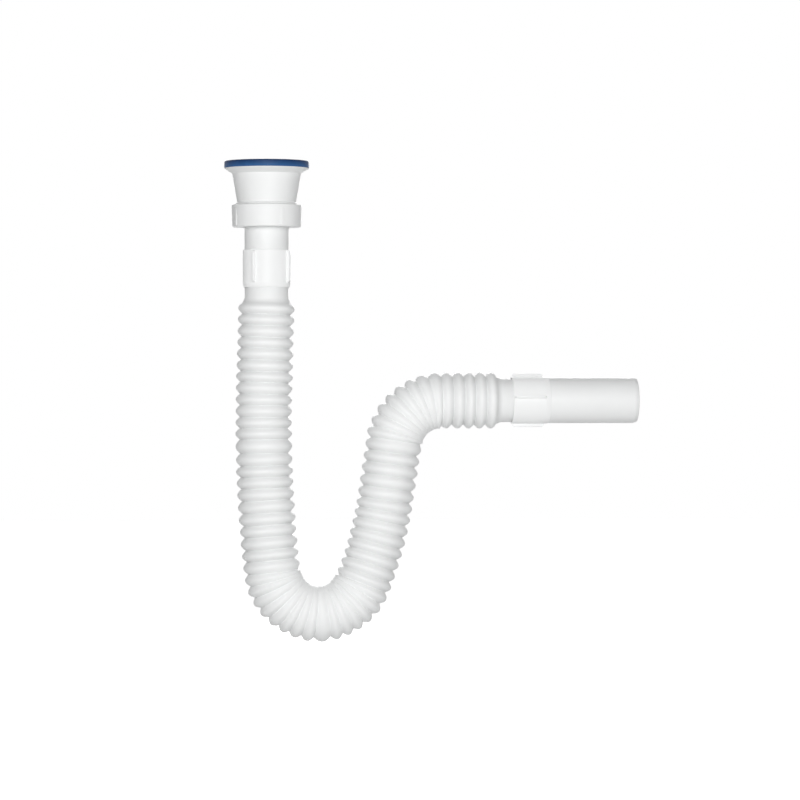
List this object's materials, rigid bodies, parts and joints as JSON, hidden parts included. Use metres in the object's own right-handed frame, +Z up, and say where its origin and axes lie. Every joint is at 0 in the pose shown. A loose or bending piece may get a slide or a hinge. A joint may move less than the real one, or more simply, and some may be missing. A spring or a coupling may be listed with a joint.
{
  "type": "basin trap",
  "caption": "Flexible basin trap with a flanged inlet funnel, rim gasket, union nut, corrugated hose bent to a U, ribbed couplers and a plain outlet pipe.",
  "frame": {"origin": "on the inlet axis at the gasket's top face, where it meets the basin", "axes": "+Z up along the inlet axis into the basin, +X along the outlet pipe to its open end"},
  "size_m": [0.2906, 0.0594, 0.3358],
  "materials": {
    "gasket_rubber": "soft satin blue rubber",
    "white_plastic": "satin moulded white",
    "bright_plastic": "glossier bright white",
    "hose_plastic": "satin blown white",
    "washer_rubber": "matt black rubber",
    "brass": "turned brass"
  },
  "bodies": {
    "funnel": {"inlet_funnel": "white_plastic", "rim_gasket": "gasket_rubber", "boss_insert": "brass"},
    "washer": {"union_washer": "washer_rubber"},
    "nut": {"coupling_nut": "white_plastic"},
    "tail": {"tail_pipe": "white_plastic", "upper_coupler": "bright_plastic"},
    "trap": {"hose": "hose_plastic"},
    "outlet": {"outlet_coupler": "bright_plastic", "outlet_pipe": "white_plastic"}
  },
  "joints": [
    {"name": "union_drop", "type": "slide", "parent": "funnel", "child": "washer", "axis": [0, 0, -1], "range_m": [0, 0.00693]},
    {"name": "nut_turn", "type": "hinge", "parent": "washer", "child": "nut", "pos_m": [0, 0, -0.0384], "axis": [0, 0, -1], "range_deg": [0, 1080]},
    {"name": "union_swivel", "type": "hinge", "parent": "washer", "child": "tail", "pos_m": [0, 0, -0.0409], "axis": [0, 0, 1], "continuous": true},
    {"name": "hose_stretch", "type": "slide", "parent": "tail", "child": "trap", "axis": [0, 0, -1], "range_m": [-0.012, 0.03], "deforming": ["hose"]},
    {"name": "outlet_bend", "type": "hinge", "parent": "trap", "child": "outlet", "pos_m": [0.1006, 0, -0.17488], "axis": [0, -1, 0], "range_deg": [0, 45], "deforming": ["hose"]}
  ],
  "couplings": [
    {"joint": "union_drop", "follows": "nut_turn", "m_per_rad": 0.00036749}
  ]
}
